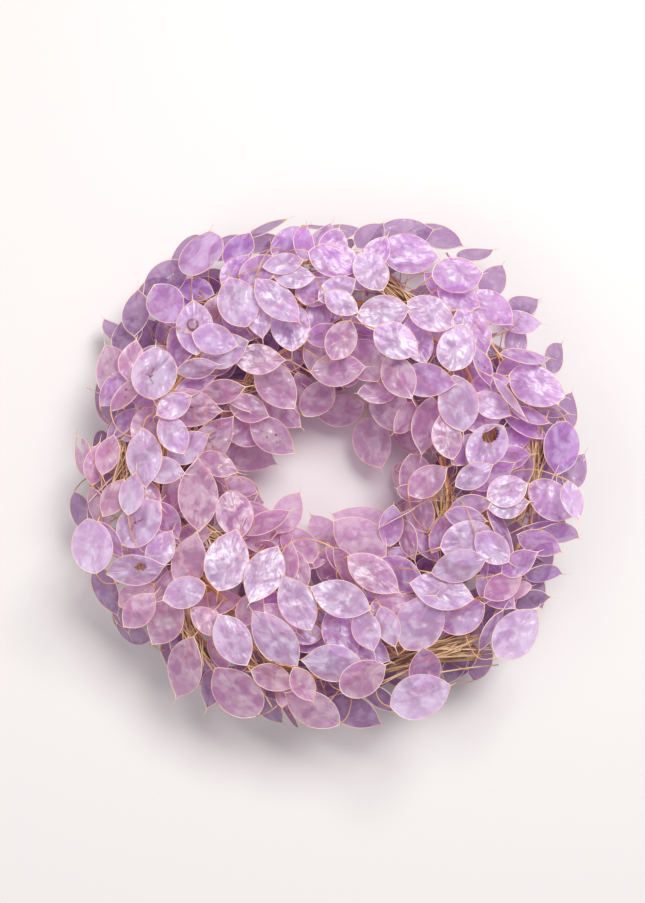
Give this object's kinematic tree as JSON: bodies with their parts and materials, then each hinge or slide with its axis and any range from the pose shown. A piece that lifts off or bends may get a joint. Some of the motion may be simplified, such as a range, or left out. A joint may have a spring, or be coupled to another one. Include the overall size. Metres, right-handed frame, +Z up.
{
  "type": "dried lunaria wreath",
  "caption": "Flat-lying round wreath of dried, lilac-dyed lunaria: branching stems with flat papery seed pods, bound with bundles of bare stalks on a wire hoop.",
  "frame": {"origin": "middle of the wreath on the surface it lies on", "axes": "+Z up out of the wreath's front, +Y towards the top of the picture, +X towards its right"},
  "size_m": [0.3163, 0.3142, 0.089],
  "materials": {
    "pods": "dried lunaria plant, dyed lilac: papery membrane pods in a fine rim on stiff stems",
    "stalks": "bare dried stalks, tan brown",
    "hoop": "drawn galvanised wire",
    "binding": "thin wire with green lacquer"
  },
  "bodies": {
    "root": {"wire_hoop": "hoop", "binding_wire": "binding", "stalk_bundle_01": "stalks", "stalk_bundle_02": "stalks", "stalk_bundle_03": "stalks", "stalk_bundle_04": "stalks", "stalk_bundle_05": "stalks", "stalk_bundle_06": "stalks", "stalk_bundle_07": "stalks", "stalk_bundle_08": "stalks", "stalk_bundle_09": "stalks", "stalk_bundle_10": "stalks", "stalk_bundle_11": "stalks", "pod_spray_01": "pods", "pod_spray_02": "pods", "pod_spray_03": "pods", "pod_spray_04": "pods", "pod_spray_05": "pods", "pod_spray_06": "pods", "pod_spray_07": "pods", "pod_spray_08": "pods", "pod_spray_09": "pods", "pod_spray_10": "pods", "pod_spray_11": "pods", "pod_spray_12": "pods", "pod_spray_13": "pods", "pod_spray_14": "pods", "pod_spray_15": "pods", "pod_spray_16": "pods", "pod_spray_17": "pods", "pod_spray_18": "pods", "pod_spray_19": "pods", "pod_spray_20": "pods", "pod_spray_21": "pods", "pod_spray_22": "pods", "pod_spray_23": "pods", "pod_spray_24": "pods", "pod_spray_25": "pods", "pod_spray_26": "pods", "pod_spray_27": "pods", "pod_spray_28": "pods", "pod_spray_29": "pods", "pod_spray_30": "pods", "pod_spray_31": "pods", "pod_spray_32": "pods", "pod_spray_33": "pods", "pod_spray_34": "pods", "pod_spray_35": "pods", "pod_spray_36": "pods"}
  },
  "joints": []
}
